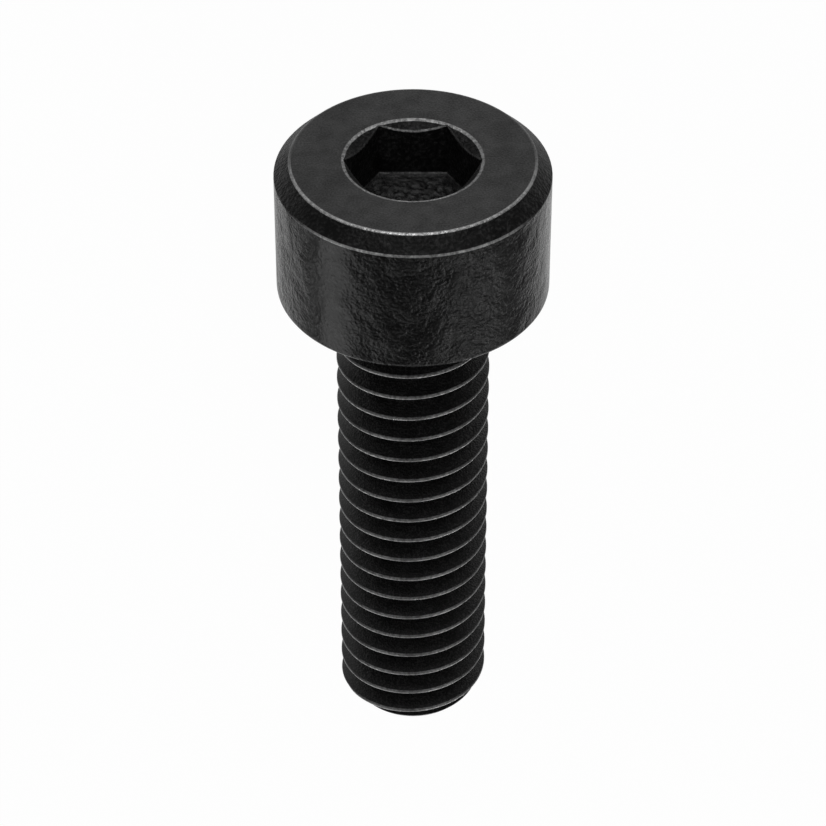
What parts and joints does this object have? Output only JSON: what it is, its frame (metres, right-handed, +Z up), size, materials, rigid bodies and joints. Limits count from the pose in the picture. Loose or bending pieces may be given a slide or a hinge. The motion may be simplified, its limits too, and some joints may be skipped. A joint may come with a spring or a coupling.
{
  "type": "hex socket cap screw",
  "caption": "One-piece socket head cap screw in black-oxide steel: smooth round head with a hexagonal key socket, full-length coarse thread and chamfered end.",
  "frame": {"origin": "on the surface that the screw lies on, under the middle of its bounding box", "axes": "+Z up; +X towards the head, along the shadow of the screw's own axis, which rises 6.5 degrees towards the head; +Y to the left of someone who looks along +X"},
  "size_m": [0.0184, 0.007, 0.0073],
  "materials": {
    "black_oxide_steel": "black oxide over forged and rolled alloy steel, matt to satin, with the bare edges worn lighter"
  },
  "bodies": {
    "root": {"cap_screw": "black_oxide_steel"}
  },
  "joints": []
}
